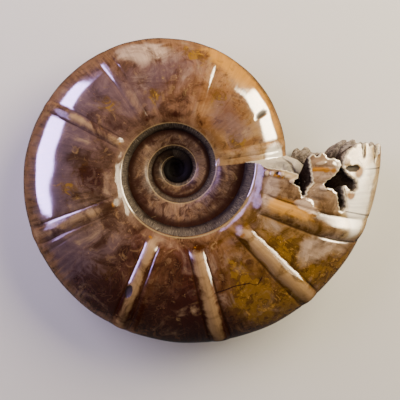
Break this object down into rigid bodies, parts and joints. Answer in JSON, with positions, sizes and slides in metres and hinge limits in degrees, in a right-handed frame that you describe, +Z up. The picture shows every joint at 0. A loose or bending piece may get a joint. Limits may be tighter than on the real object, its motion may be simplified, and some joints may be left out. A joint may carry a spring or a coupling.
{
  "type": "ammonite fossil",
  "caption": "Polished coiled ammonite shell with ribbed flanks, a stepped umbilicus on each side and a frilled broken end; lies on its flank as a display specimen.",
  "frame": {"origin": "under the middle of the bounding box, on the surface that the shell rests on", "axes": "+Z up from the resting surface, about along the coil's axis; +X towards the frilled end, along the shell's length"},
  "size_m": [0.2993, 0.257, 0.1024],
  "materials": {
    "ammonite": "polished"
  },
  "bodies": {
    "root": {"ammonite": "ammonite"}
  },
  "joints": []
}
